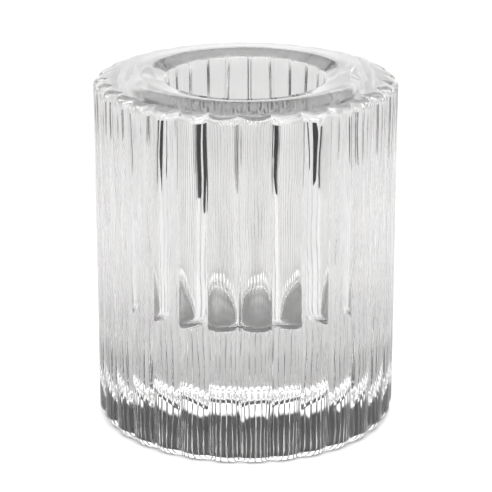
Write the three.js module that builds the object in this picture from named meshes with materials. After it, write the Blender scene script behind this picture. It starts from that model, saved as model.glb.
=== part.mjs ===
// A ribbed tealight holder, pressed in one piece of thick clear glass.
//
// The outside is a straight cylinder of upright convex ribs. At the top they run out into a smooth, nearly
// flat ring. A low circular ridge on the ring is its highest line, and inside the ridge a shallow bevel
// leads down to the mouth of a deep, slightly tapered well with a rounded floor. Under the well is a thick
// solid foot. Its lower edge is rounded and its underside is slightly domed, so that the holder stands on
// a flat rim.
//
// Millimetres, +Z up, origin on the standing surface at the centre of the base.

import * as THREE from "three";

// Overall size.
const OUTER_RADIUS = 39; // over the crests of the ribs
const HEIGHT = 92; // to the ridge

// Ribs.
const RIB_COUNT = 30;
const RIB_DEPTH = 1.9; // from crest to valley
const VALLEY_ROUNDING = 0.35; // how far the valley between two ribs is filled
const FIRST_CREST_DEGREES = 3.8; // from -Y towards +X

// Top ring.
const SHOULDER_WIDTH = 5; // radial, from the crest of a rib in to the ring
const SHOULDER_HEIGHT = 2.3;
const RING_FALL = 0.8; // from the ridge out to the shoulder
const BEVEL_WIDTH = 6; // radial, from the ridge in to the mouth of the well
const BEVEL_FALL = 1.1;

// Well, sized by the metal cup of the candle that it takes.
const CUP_RADIUS = 19;
const CUP_CLEARANCE = 0.7; // radial, at the foot of the well
const WELL_DRAFT = 0.8; // how much the radius grows from the foot of the well to its mouth
const WELL_CORNER_RADIUS = 4;
const FOOT_THICKNESS = 30.5; // solid glass from the standing surface to the floor of the well

// Underside.
const BASE_EDGE_WIDTH = 4; // radial, from the crest of a rib in to the flat rim
const BASE_EDGE_HEIGHT = 3.5;
const STANDING_RIM_WIDTH = 4;
const DOME_RISE = 1;

// Facets.
const SIDES_PER_RIB = 6;
const EDGE_STEPS = 4;
const CORNER_STEPS = 5;
const DOME_STEPS = 3;

const RIB_PITCH = (2 * Math.PI) / RIB_COUNT;
const FIRST_CREST = THREE.MathUtils.degToRad(FIRST_CREST_DEGREES);
const SHOULDER_START_RADIUS = OUTER_RADIUS - SHOULDER_WIDTH;
const RIM_OUTER_RADIUS = OUTER_RADIUS - BASE_EDGE_WIDTH;
const RIM_INNER_RADIUS = RIM_OUTER_RADIUS - STANDING_RIM_WIDTH;
const WELL_FOOT_RADIUS = CUP_RADIUS + CUP_CLEARANCE;
const WELL_MOUTH_RADIUS = WELL_FOOT_RADIUS + WELL_DRAFT;
const RIDGE_RADIUS = WELL_MOUTH_RADIUS + BEVEL_WIDTH;

// Points of an upright elliptical arc, from one angle to another in degrees, both ends included.
function arcPoints(centreRadius, centreHeight, width, height, from, to, steps) {
  const points = [];
  for (let i = 0; i <= steps; i++) {
    const angle = THREE.MathUtils.degToRad(THREE.MathUtils.lerp(from, to, i / steps));
    points.push(
      new THREE.Vector2(centreRadius + width * Math.cos(angle), centreHeight + height * Math.sin(angle)),
    );
  }
  return points;
}

// The domed underside, from the axis out to just inside the standing rim.
function domePoints() {
  const points = [];
  for (let i = 0; i < DOME_STEPS; i++) {
    const share = i / DOME_STEPS;
    points.push(new THREE.Vector2(RIM_INNER_RADIUS * share, DOME_RISE * (1 - share ** 2)));
  }
  return points;
}

// Half of the holder's section through a crest: under the foot, up the outside, over the ring, down the
// well and in along its floor to the axis.
function sectionProfile() {
  const shoulderCentre = HEIGHT - RING_FALL - SHOULDER_HEIGHT;
  const cornerRadius = WELL_FOOT_RADIUS - WELL_CORNER_RADIUS;
  const cornerHeight = FOOT_THICKNESS + WELL_CORNER_RADIUS;
  return [
    ...domePoints(),
    new THREE.Vector2(RIM_INNER_RADIUS, 0),
    ...arcPoints(RIM_OUTER_RADIUS, BASE_EDGE_HEIGHT, BASE_EDGE_WIDTH, BASE_EDGE_HEIGHT, -90, 0, EDGE_STEPS),
    ...arcPoints(SHOULDER_START_RADIUS, shoulderCentre, SHOULDER_WIDTH, SHOULDER_HEIGHT, 0, 90, EDGE_STEPS),
    new THREE.Vector2(RIDGE_RADIUS, HEIGHT),
    new THREE.Vector2(WELL_MOUTH_RADIUS, HEIGHT - BEVEL_FALL),
    ...arcPoints(cornerRadius, cornerHeight, WELL_CORNER_RADIUS, WELL_CORNER_RADIUS, 0, -90, CORNER_STEPS),
    new THREE.Vector2(0, FOOT_THICKNESS),
  ];
}

// How far the ribbed surface lies inside the crests at an angle about the axis, from -Y towards +X. The
// ribs are circular arcs side by side, and the sharp valley between two of them is rounded.
function ribSink(angle) {
  const halfPitch = (OUTER_RADIUS * RIB_PITCH) / 2;
  const arcRadius = (halfPitch ** 2 + RIB_DEPTH ** 2) / (2 * RIB_DEPTH);
  const arcSink = (x) => arcRadius - Math.sqrt(Math.max(arcRadius ** 2 - x ** 2, 0));
  const turn = angle - FIRST_CREST;
  const fromCrest = Math.abs(turn - RIB_PITCH * Math.round(turn / RIB_PITCH)) * OUTER_RADIUS;
  const own = arcSink(fromCrest);
  const next = arcSink(2 * halfPitch - fromCrest);
  const closeness = Math.max(1 - Math.abs(own - next) / VALLEY_ROUNDING, 0);
  return Math.min(own, next) - (closeness ** 2 * VALLEY_ROUNDING) / 4;
}

// Share of the ribs' depth at a point of the section: all of it on the straight side, fading to none
// where the shoulder meets the ring and where the base edge meets the standing rim.
function ribShare(radius, height) {
  const edgeWidth = height > HEIGHT / 2 ? SHOULDER_WIDTH : BASE_EDGE_WIDTH;
  return THREE.MathUtils.clamp((radius - (OUTER_RADIUS - edgeWidth)) / edgeWidth, 0, 1);
}

// A lathe turns about its own Y axis, so the ribs are pressed there and the body is then stood on +Z. It
// starts at a crest, so that every crest and every valley has its own row of facet corners.
function glassBody() {
  const geometry = new THREE.LatheGeometry(sectionProfile(), RIB_COUNT * SIDES_PER_RIB, FIRST_CREST);
  const position = geometry.getAttribute("position");
  for (let i = 0; i < position.count; i++) {
    const x = position.getX(i);
    const z = position.getZ(i);
    const radius = Math.hypot(x, z);
    const share = ribShare(radius, position.getY(i));
    if (share > 0) {
      const scale = 1 - (share * ribSink(Math.atan2(x, z))) / radius;
      position.setX(i, x * scale);
      position.setZ(i, z * scale);
    }
  }
  geometry.rotateX(Math.PI / 2);
  geometry.computeVertexNormals();
  return geometry;
}

const clearGlass = new THREE.MeshStandardMaterial({
  name: "clear_glass",
  color: 0xf1f3f2,
  roughness: 0.03,
  metalness: 0,
  transparent: true,
  opacity: 0.35,
});

const body = new THREE.Mesh(glassBody(), clearGlass);
body.name = "ribbed_glass_body";

const holder = new THREE.Group();
holder.add(body);

export default holder;
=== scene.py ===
import math

import bpy
import numpy as np
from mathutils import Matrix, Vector


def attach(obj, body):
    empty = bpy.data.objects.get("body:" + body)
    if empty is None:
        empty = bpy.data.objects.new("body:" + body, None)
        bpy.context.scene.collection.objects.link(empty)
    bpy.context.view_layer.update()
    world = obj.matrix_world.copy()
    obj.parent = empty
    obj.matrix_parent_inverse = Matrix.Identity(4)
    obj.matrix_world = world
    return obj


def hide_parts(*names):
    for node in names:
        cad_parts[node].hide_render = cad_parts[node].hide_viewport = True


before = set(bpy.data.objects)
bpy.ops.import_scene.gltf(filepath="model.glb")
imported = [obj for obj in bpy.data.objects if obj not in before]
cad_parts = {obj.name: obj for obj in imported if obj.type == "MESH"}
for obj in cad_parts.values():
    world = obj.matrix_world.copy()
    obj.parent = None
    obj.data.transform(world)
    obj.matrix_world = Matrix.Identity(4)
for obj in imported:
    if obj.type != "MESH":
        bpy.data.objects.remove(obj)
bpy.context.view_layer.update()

# The visual model is one piece of pressed glass. It stands for the faceted CAD body, with the same
# section and the same ribs, on a finer mesh. All lengths are in metres.
NODE = "ribbed_glass_body"
MM = 0.001

# Overall size and the place of the ribs, read from the CAD body.
cad_corners = np.array([vertex.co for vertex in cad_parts[NODE].data.vertices])
cad_radii = np.hypot(cad_corners[:, 0], cad_corners[:, 1])
crest_corner = cad_corners[int(cad_radii.argmax())]
HEIGHT = float(cad_corners[:, 2].max())
OUTER_RADIUS = float(cad_radii.max())
FIRST_CREST = math.atan2(crest_corner[1], crest_corner[0])

# Ribs.
RIB_COUNT = 30
RIB_PITCH = 2 * math.pi / RIB_COUNT
RIB_DEPTH = 1.9 * MM
VALLEY_ROUNDING = 0.35 * MM

# Top ring.
SHOULDER_WIDTH = 5 * MM
SHOULDER_HEIGHT = 2.3 * MM
RING_FALL = 0.8 * MM
BEVEL_WIDTH = 6 * MM
BEVEL_FALL = 1.1 * MM
RIDGE_ROUNDING = 0.5 * MM
MOUTH_ROUNDING = 0.6 * MM

# Well.
WELL_FOOT_RADIUS = 19.7 * MM
WELL_MOUTH_RADIUS = 20.5 * MM
WELL_CORNER_RADIUS = 4 * MM
FOOT_THICKNESS = 30.5 * MM

# Underside.
BASE_EDGE_WIDTH = 4 * MM
BASE_EDGE_HEIGHT = 3.5 * MM
STANDING_RIM_WIDTH = 4 * MM
DOME_RISE = 1 * MM

# Where the parts of the section meet.
SHOULDER_START_RADIUS = OUTER_RADIUS - SHOULDER_WIDTH
RIM_OUTER_RADIUS = OUTER_RADIUS - BASE_EDGE_WIDTH
RIM_INNER_RADIUS = RIM_OUTER_RADIUS - STANDING_RIM_WIDTH
RIDGE_RADIUS = WELL_MOUTH_RADIUS + BEVEL_WIDTH

# Unevenness that pressing leaves in the walls. The well's swell dies away over SWELL_FADE at both ends:
# just under the lip of the mouth, and at the top of the rounded corner below.
RIB_WANDER = math.radians(0.5)
OUTSIDE_SWELL = 0.1 * MM
WELL_SWELL = 0.15 * MM
SWELL_FADE = 8 * MM
SWELL_TOP = HEIGHT - 2 * BEVEL_FALL
SWELL_BOTTOM = FOOT_THICKNESS + WELL_CORNER_RADIUS

# The waves that the unevenness is made of: whole cycles round the body, so that a wave joins up with
# itself, then wavelength up the wall, phase in radians, and weight.
RIB_WAVES = [
    (7, 61 * MM, 0.4, 1),
    (-11, 43 * MM, 2.1, 1),
    (17, 23 * MM, 1.3, 0.5),
    (-23, 17 * MM, 0.7, 0.5),
]
OUTSIDE_WAVES = [
    (5, 71 * MM, 1.9, 1),
    (-13, 37 * MM, 0.2, 1),
    (19, 27 * MM, 2.6, 0.5),
    (-29, 13 * MM, 1.1, 0.5),
]
WELL_WAVES = [
    (3, 83 * MM, 0.9, 1),
    (-5, 47 * MM, 2.3, 1),
]

# How fine the mesh is.
SIDES_PER_RIB = 36
SIDES = RIB_COUNT * SIDES_PER_RIB
DOME_STEPS = 5
EDGE_STEPS = 10
WALL_STEPS = 20
RING_STEPS = 3
CORNER_STEPS = 8
FLOOR_STEPS = 2

# Glass.
GLASS_IOR = 1.52
GLASS_ABSORPTION = 0.6
ABSORPTION_COLOUR = (0, 0, 0, 1)
STREAK_STRETCH = (1, 1, 0.25)
STREAK_SCALE = 90
TINT_IN_STREAKS = (0.935, 0.933, 0.93, 1)
TINT_BETWEEN = (0.97, 0.968, 0.965, 1)
SMEAR_SCALE = 35
ROUGHEST_POLISH = 0.03
SKIN_STRENGTH = 0.05
SKIN_DEPTH = 0.1 * MM
GLASS_BOUNCES = 32

# Camera, for a square picture. It aims at the middle of the holder's height.
CAMERA_ELEVATION = 19.33
CAMERA_DISTANCE = 14.59 * OUTER_RADIUS
SENSOR_WIDTH = 36
LENS = 159.4
SHIFT_X = 0.001
SHIFT_Y = -0.005
CLIP_END = 50

# Studio. Radiance 1 is the white of the picture.
FLOOR_WIDTH = 8
FLOOR_GAP = 0.02 * MM
FLOOR_DARKER = 0.79
FLOOR_LIGHTER = 0.83
# The grey sheet is painted shade: a darker copy of the floor paper that only the glass shows.
SHEET_GAP = 0.01 * MM
SHEET_DARKER = 0.49
SHEET_LIGHTER = 0.53
PAPER_ROUGHNESS = 0.9
MOTTLE_SCALE = 40
BACKDROP_RADIANCE = 1.75
LAMP_DISTANCE = 1.2

# Elevation in degrees and brightness: the backdrop, the dark gap over it, and the ceiling.
SKY = [(0, 1), (19.5, 1), (21, 0.04), (35, 0.04), (46, 0.45), (90, 0.45)]

# Name, azimuth and elevation in degrees, width and height, radiance, and whether the glass shows it.
LAMPS = [
    ("front_soft_box", 0, 50, 1.6, 0.7, 3.2, True),
    ("overhead_soft_box", 180, 78, 1.0, 1.0, 2.6, False),
    ("front_fill", 0, 38, 1.0, 0.6, 5, False),
]

# Dark cards round the holder, painted shade that only the glass shows: name, place across and along the view,
# size in x, y and z, and shade.
CARDS = [
    ("left_black_card", -0.205, -0.02, (0.001, 0.25, 0.045), 0.015),
    ("right_black_card", 0.225, -0.02, (0.001, 0.25, 0.045), 0.015),
    ("left_grey_card", -0.24, 0, (0.001, 1, 0.2), 0.05),
    ("right_grey_card", 0.25, 0, (0.001, 1, 0.2), 0.05),
    # A dark sheet on the floor in front: painted shade on the floor, seen only in the glass.
    ("front_floor_card", 0, -0.5, (1.2, 0.66, 0.001), 0.015),
    ("front_card", 0, -0.9, (1.6, 0.001, 0.24), 0.015),
]
CARD_MOTTLE = 0.1


def arc(centre_radius, centre_height, width, height, start, end, steps):
    """Points of an upright elliptical arc from start to end, in degrees, both ends included."""
    points = []
    for i in range(steps + 1):
        angle = math.radians(start + (end - start) * i / steps)
        points.append((centre_radius + width * math.cos(angle), centre_height + height * math.sin(angle)))
    return points


def straight(start, end, steps):
    """Points along a line from start to end, without start and without end."""
    points = []
    for i in range(1, steps):
        share = i / steps
        points.append((start[0] + (end[0] - start[0]) * share, start[1] + (end[1] - start[1]) * share))
    return points


def section_profile():
    """Half of the section through a crest: under the foot, up the outside, over the ring, down the well."""
    shoulder_centre = HEIGHT - RING_FALL - SHOULDER_HEIGHT
    shoulder_end = (SHOULDER_START_RADIUS, HEIGHT - RING_FALL)
    ring_slope = RING_FALL / (SHOULDER_START_RADIUS - RIDGE_RADIUS)
    bevel_slope = BEVEL_FALL / BEVEL_WIDTH
    ridge_outside = (RIDGE_RADIUS + RIDGE_ROUNDING, HEIGHT - RIDGE_ROUNDING * ring_slope)
    ridge_inside = (RIDGE_RADIUS - RIDGE_ROUNDING, HEIGHT - RIDGE_ROUNDING * bevel_slope)
    lip_start = (WELL_MOUTH_RADIUS + MOUTH_ROUNDING, HEIGHT - (BEVEL_WIDTH - MOUTH_ROUNDING) * bevel_slope)
    lip_centre = lip_start[1] - MOUTH_ROUNDING
    corner_radius = WELL_FOOT_RADIUS - WELL_CORNER_RADIUS
    corner_centre = FOOT_THICKNESS + WELL_CORNER_RADIUS

    profile = []
    for i in range(1, DOME_STEPS + 1):
        share = i / DOME_STEPS
        profile.append((RIM_INNER_RADIUS * share, DOME_RISE * (1 - share ** 2)))
    profile += arc(RIM_OUTER_RADIUS, BASE_EDGE_HEIGHT, BASE_EDGE_WIDTH, BASE_EDGE_HEIGHT, -90, 0, EDGE_STEPS)
    profile += straight((OUTER_RADIUS, BASE_EDGE_HEIGHT), (OUTER_RADIUS, shoulder_centre), WALL_STEPS)
    profile += arc(SHOULDER_START_RADIUS, shoulder_centre, SHOULDER_WIDTH, SHOULDER_HEIGHT, 0, 90, EDGE_STEPS)
    profile += straight(shoulder_end, ridge_outside, RING_STEPS)
    profile += [ridge_outside, ridge_inside]
    profile += straight(ridge_inside, lip_start, RING_STEPS)
    profile += arc(lip_start[0], lip_centre, MOUTH_ROUNDING, MOUTH_ROUNDING, 90, 180, RING_STEPS)
    profile += straight((WELL_MOUTH_RADIUS, lip_centre), (WELL_FOOT_RADIUS, corner_centre), WALL_STEPS)
    profile += arc(corner_radius, corner_centre, WELL_CORNER_RADIUS, WELL_CORNER_RADIUS, 0, -90, CORNER_STEPS)
    profile += straight((corner_radius, FOOT_THICKNESS), (0, FOOT_THICKNESS), FLOOR_STEPS)
    return np.array(profile)


def rib_sink(turn):
    """How far the ribbed surface lies inside the crests at angles counted from a crest.

    Each rib is a circular arc. Where it meets the next one, the valley between them is rounded.
    """
    half_pitch = OUTER_RADIUS * RIB_PITCH / 2
    arc_radius = (half_pitch ** 2 + RIB_DEPTH ** 2) / (2 * RIB_DEPTH)
    from_crest = np.abs(turn - RIB_PITCH * np.round(turn / RIB_PITCH)) * OUTER_RADIUS
    own = arc_radius - np.sqrt(np.maximum(arc_radius ** 2 - from_crest ** 2, 0))
    from_next = 2 * half_pitch - from_crest
    following = arc_radius - np.sqrt(np.maximum(arc_radius ** 2 - from_next ** 2, 0))
    closeness = np.maximum(1 - np.abs(own - following) / VALLEY_ROUNDING, 0)
    return np.minimum(own, following) - closeness ** 2 * VALLEY_ROUNDING / 4


def rib_share(radius, height):
    """Share of the ribs' depth: all of it on the straight side, fading to none at the ring and the rim."""
    edge_width = SHOULDER_WIDTH if height > HEIGHT / 2 else BASE_EDGE_WIDTH
    return min(max((radius - (OUTER_RADIUS - edge_width)) / edge_width, 0), 1)


def ripple(waves, angles, height):
    """The waves added up at one height of a wall, from -1 to 1."""
    total = np.zeros(len(angles))
    total_weight = 0
    for cycles, wavelength, phase, weight in waves:
        total += weight * np.sin(cycles * angles + math.tau * height / wavelength + phase)
        total_weight += weight
    return total / total_weight


def outside_wander(angles, height):
    """How far a rib line strays round the body from where it should be, in radians."""
    return RIB_WANDER * ripple(RIB_WAVES, angles, height)


def outside_swell(angles, height):
    """How far the ribbed wall lies inside its true place, from 0 to OUTSIDE_SWELL."""
    return OUTSIDE_SWELL * (1 + ripple(OUTSIDE_WAVES, angles, height)) / 2


def well_swell(angles, height):
    """How far the well's wall bulges out into the glass, or back into the well where it is below 0."""
    fade = min(max(min(height - SWELL_BOTTOM, SWELL_TOP - height) / SWELL_FADE, 0), 1)
    return fade * WELL_SWELL * ripple(WELL_WAVES, angles, height)


def glass_corners(profile):
    """A point under the foot, a ring of corners for each row of the section, a point on the well's floor."""
    ridge_row = int(profile[:, 1].argmax())
    angles = FIRST_CREST + np.arange(SIDES) * math.tau / SIDES
    corners = [(0, 0, DOME_RISE)]
    for row, (radius, height) in enumerate(profile):
        if row < ridge_row:
            share = rib_share(radius, height)
            turned = angles + share * outside_wander(angles, height)
            radii = radius - share * (rib_sink(angles - FIRST_CREST) + outside_swell(angles, height))
        else:
            turned = angles
            radii = radius + well_swell(angles, height)
        corners += zip(radii * np.cos(turned), radii * np.sin(turned), np.full(SIDES, height))
    corners.append((0, 0, FOOT_THICKNESS))
    return [tuple(float(value) for value in corner) for corner in corners]


def glass_faces(ring_count):
    """Four-sided faces from each ring of corners to the next, and a fan of triangles at each end."""
    faces = []
    last_ring = 1 + (ring_count - 1) * SIDES
    for side in range(SIDES):
        beside = (side + 1) % SIDES
        faces.append((0, 1 + beside, 1 + side))
        faces.append((last_ring + side, last_ring + beside, last_ring + SIDES))
        for ring in range(1, last_ring, SIDES):
            faces.append((ring + side, ring + beside, ring + SIDES + beside, ring + SIDES + side))
    return faces


def glass_mesh():
    """The closed body, shaded smooth."""
    profile = section_profile()
    mesh = bpy.data.meshes.new("pressed_glass")
    mesh.from_pydata(glass_corners(profile), [], glass_faces(len(profile)))
    mesh.polygons.foreach_set("use_smooth", [True] * len(mesh.polygons))
    mesh.update()
    return mesh


def new_material(name):
    """A material with nodes, and its surface shader."""
    material = bpy.data.materials.new(name)
    material.use_nodes = True
    return material, material.node_tree.nodes["Principled BSDF"]


def noise(tree, place, scale):
    """A noise that is read at a place. A larger scale is finer."""
    texture = tree.nodes.new("ShaderNodeTexNoise")
    texture.inputs["Scale"].default_value = scale
    tree.links.new(place, texture.inputs["Vector"])
    return texture.outputs["Fac"]


def colour_ramp(tree, factor, low, high):
    """A colour that goes from low to high as the factor goes from 0 to 1."""
    ramp = tree.nodes.new("ShaderNodeValToRGB")
    ramp.color_ramp.elements[0].color = low
    ramp.color_ramp.elements[1].color = high
    tree.links.new(factor, ramp.inputs["Fac"])
    return ramp.outputs["Color"]


def clear_glass():
    """Clear pressed glass: faint streaks of tint, a fire-polished skin and a slight grey in its depth."""
    material, surface = new_material("clear_glass")
    tree = material.node_tree
    surface.inputs["IOR"].default_value = GLASS_IOR
    surface.inputs["Transmission Weight"].default_value = 1

    place = tree.nodes.new("ShaderNodeTexCoord").outputs["Object"]
    stretch = tree.nodes.new("ShaderNodeMapping")
    stretch.inputs["Scale"].default_value = STREAK_STRETCH
    tree.links.new(place, stretch.inputs["Vector"])
    streaks = noise(tree, stretch.outputs["Vector"], STREAK_SCALE)
    tint = colour_ramp(tree, streaks, TINT_IN_STREAKS, TINT_BETWEEN)
    tree.links.new(tint, surface.inputs["Base Color"])

    polish = tree.nodes.new("ShaderNodeMapRange")
    polish.inputs["To Max"].default_value = ROUGHEST_POLISH
    tree.links.new(noise(tree, place, SMEAR_SCALE), polish.inputs["Value"])
    tree.links.new(polish.outputs["Result"], surface.inputs["Roughness"])

    skin = tree.nodes.new("ShaderNodeBump")
    skin.inputs["Strength"].default_value = SKIN_STRENGTH
    skin.inputs["Distance"].default_value = SKIN_DEPTH
    tree.links.new(streaks, skin.inputs["Height"])
    tree.links.new(skin.outputs["Normal"], surface.inputs["Normal"])

    depth = tree.nodes.new("ShaderNodeVolumeAbsorption")
    depth.inputs["Color"].default_value = ABSORPTION_COLOUR
    depth.inputs["Density"].default_value = GLASS_ABSORPTION
    tree.links.new(depth.outputs["Volume"], tree.nodes["Material Output"].inputs["Volume"])
    return material


def mottled_paper(name, darker, lighter):
    """Matt paper that varies a little between two greys."""
    material, surface = new_material(name)
    tree = material.node_tree
    place = tree.nodes.new("ShaderNodeTexCoord").outputs["Object"]
    mottle = noise(tree, place, MOTTLE_SCALE)
    grey = colour_ramp(tree, mottle, (darker, darker, darker, 1), (lighter, lighter, lighter, 1))
    surface.inputs["Roughness"].default_value = PAPER_ROUGHNESS
    tree.links.new(grey, surface.inputs["Base Color"])
    return material


def around(azimuth, elevation, distance):
    """A place seen from the foot of the holder. Azimuth 0 is on the camera's side and 90 on the right."""
    turn = math.radians(azimuth)
    rise = math.radians(elevation)
    level = distance * math.cos(rise)
    return Vector((level * math.sin(turn), -level * math.cos(turn), distance * math.sin(rise)))


def aim(obj, place, target):
    """Puts a camera or a lamp at a place and turns it to the target."""
    obj.location = place
    obj.rotation_euler = (target - place).to_track_quat("-Z", "Y").to_euler()


def add_camera():
    """The camera, at the elevation and distance that the outlines in the photo suggest."""
    data = bpy.data.cameras.new("camera")
    data.sensor_width = SENSOR_WIDTH
    data.lens = LENS
    data.shift_x = SHIFT_X
    data.shift_y = SHIFT_Y
    data.clip_end = CLIP_END
    camera = bpy.data.objects.new("camera", data)
    bpy.context.scene.collection.objects.link(camera)
    target = Vector((0, 0, HEIGHT / 2))
    aim(camera, target + around(0, CAMERA_ELEVATION, CAMERA_DISTANCE), target)
    bpy.context.scene.camera = camera


def add_floor(name, gap, darker, lighter):
    """A wide matt sheet just under the holder. The thin gap of air lets the foot mirror inside."""
    bpy.ops.mesh.primitive_plane_add(size=FLOOR_WIDTH, location=(0, 0, -gap))
    floor = bpy.context.object
    floor.name = name
    floor.data.materials.append(mottled_paper(name, darker, lighter))
    return floor


def show_only_in_glass(obj):
    """The glass mirrors and shows it, but it isn't in the picture itself and casts no shadow."""
    obj.visible_camera = False
    obj.visible_diffuse = False
    obj.visible_shadow = False


def add_floors():
    """The pale floor, and over it a greyer sheet that only the glass shows: painted shade, a darker copy of
    the floor.

    The photographed floor is overexposed to plain white, but it is grey where the glass shows it.
    """
    add_floor("pale_floor", FLOOR_GAP, FLOOR_DARKER, FLOOR_LIGHTER)
    show_only_in_glass(add_floor("painted_shade_sheet", SHEET_GAP, SHEET_DARKER, SHEET_LIGHTER))


def add_lamps():
    """Soft boxes in front of the holder and overhead."""
    for name, azimuth, elevation, width, height, radiance, in_glass in LAMPS:
        data = bpy.data.lights.new(name, "AREA")
        data.shape = "RECTANGLE"
        data.size = width
        data.size_y = height
        data.energy = radiance * math.pi * width * height
        lamp = bpy.data.objects.new(name, data)
        bpy.context.scene.collection.objects.link(lamp)
        aim(lamp, around(azimuth, elevation, LAMP_DISTANCE), Vector((0, 0, 0)))
        lamp.visible_glossy = in_glass
        lamp.visible_transmission = in_glass


def add_cards():
    """Dark cards that only the glass shows, as painted shade. They draw the dark lines in the ribs."""
    for name, across, along, size, shade in CARDS:
        bpy.ops.mesh.primitive_cube_add(size=1, location=(across, along, size[2] / 2))
        card = bpy.context.object
        card.name = name
        card.scale = size
        darker = shade * (1 - CARD_MOTTLE)
        lighter = shade * (1 + CARD_MOTTLE)
        card.data.materials.append(mottled_paper(name, darker, lighter))
        show_only_in_glass(card)


def light_sky():
    """The backdrop all round, the dark gap over it and the ceiling, each by its height above the floor."""
    world = bpy.data.worlds.new("studio")
    world.use_nodes = True
    bpy.context.scene.world = world
    nodes = world.node_tree.nodes
    links = world.node_tree.links
    direction = nodes.new("ShaderNodeTexCoord")
    parts = nodes.new("ShaderNodeSeparateXYZ")
    links.new(direction.outputs["Generated"], parts.inputs["Vector"])
    sky = nodes.new("ShaderNodeValToRGB")
    stops = sky.color_ramp.elements
    # A new stop can start anywhere, because the loop after this one puts each stop in its place.
    while len(stops) < len(SKY):
        stops.new(0)
    for stop, (elevation, brightness) in zip(stops, SKY):
        stop.position = math.sin(math.radians(elevation))
        stop.color = (brightness, brightness, brightness, 1)
    links.new(parts.outputs["Z"], sky.inputs["Fac"])
    links.new(sky.outputs["Color"], nodes["Background"].inputs["Color"])
    nodes["Background"].inputs["Strength"].default_value = BACKDROP_RADIANCE


add_camera()

glass = bpy.data.objects.new("pressed_glass", glass_mesh())
bpy.context.scene.collection.objects.link(glass)
glass.data.materials.append(clear_glass())
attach(glass, "root")
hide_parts(NODE)

add_floors()
add_lamps()
add_cards()
light_sky()

scene = bpy.context.scene
scene.view_settings.view_transform = "Standard"
scene.cycles.max_bounces = GLASS_BOUNCES
scene.cycles.transmission_bounces = GLASS_BOUNCES
scene.cycles.glossy_bounces = GLASS_BOUNCES
